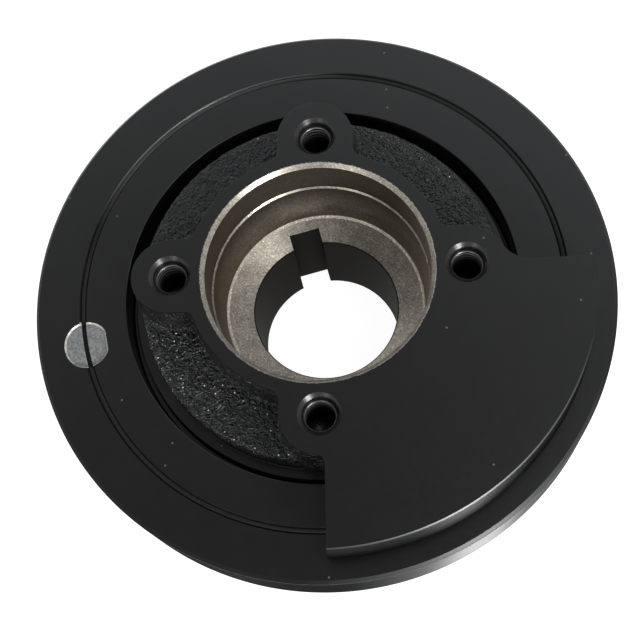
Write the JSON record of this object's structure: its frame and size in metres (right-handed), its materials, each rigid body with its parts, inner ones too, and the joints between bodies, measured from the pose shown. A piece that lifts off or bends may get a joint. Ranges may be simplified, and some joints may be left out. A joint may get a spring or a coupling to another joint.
{
  "type": "harmonic balancer",
  "caption": "Iron crankshaft damper: a keyed hub with tapped pulley bosses and a quarter-circle counterweight carries an outer ring on bonded rubber.",
  "frame": {"origin": "on the crank axis, at the hub's front face where the pulley seats", "axes": "+Z along the crank axis out of the front face; +X towards the pulley bolt hole beside the counterweight's upper side; +Y completes the right-handed frame"},
  "size_m": [0.165, 0.165, 0.0644],
  "materials": {
    "hub_iron": "satin black paint; bores, counterbore and keyway bare machined iron",
    "rubber": "matte, painted over",
    "ring_iron": "satin black paint over turned faces"
  },
  "bodies": {
    "root": {"hub": "hub_iron", "elastomer_ring": "rubber", "inertia_ring": "ring_iron"}
  },
  "joints": []
}
